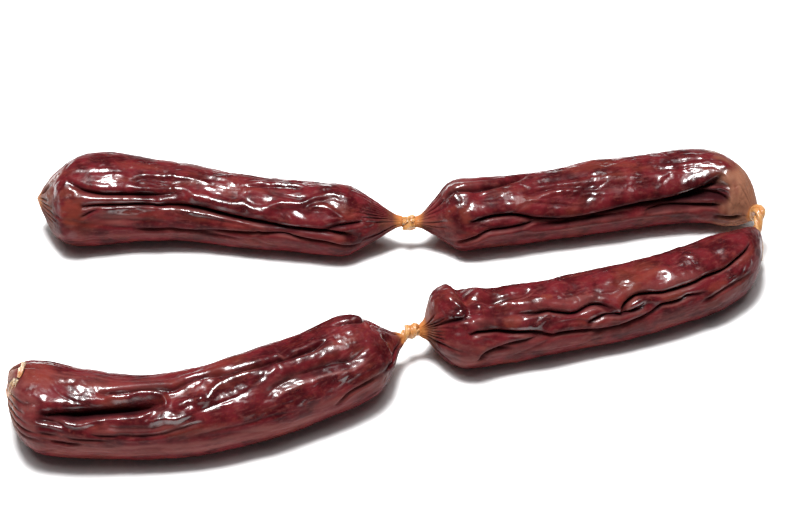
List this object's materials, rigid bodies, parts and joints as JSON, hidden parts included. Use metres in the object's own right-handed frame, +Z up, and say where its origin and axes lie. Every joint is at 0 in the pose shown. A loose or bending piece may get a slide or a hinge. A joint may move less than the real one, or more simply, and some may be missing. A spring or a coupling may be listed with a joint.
{
  "type": "cured sausage",
  "caption": "String of wrinkled, glossy dry-cured sausages in natural casing, joined by twisted dry necks and folded back on itself as it lies; food for a kitchen, market or larder.",
  "frame": {"origin": "centre of the string's footprint, on the table it lies on", "axes": "+X along the rows, from the two free ends to the bend between the second and third links; +Y from the row of the third and fourth links to the row of the first and second; +Z up"},
  "size_m": [0.2427, 0.1309, 0.0287],
  "materials": {
    "meat": "gloss",
    "casing": "satin"
  },
  "bodies": {
    "root": {"link_1": "meat", "link_2": "meat", "link_3": "meat", "link_4": "meat", "twist_1_2": "casing", "twist_2_3": "casing", "twist_3_4": "casing", "tail_1": "casing", "tail_4": "casing"}
  },
  "joints": []
}
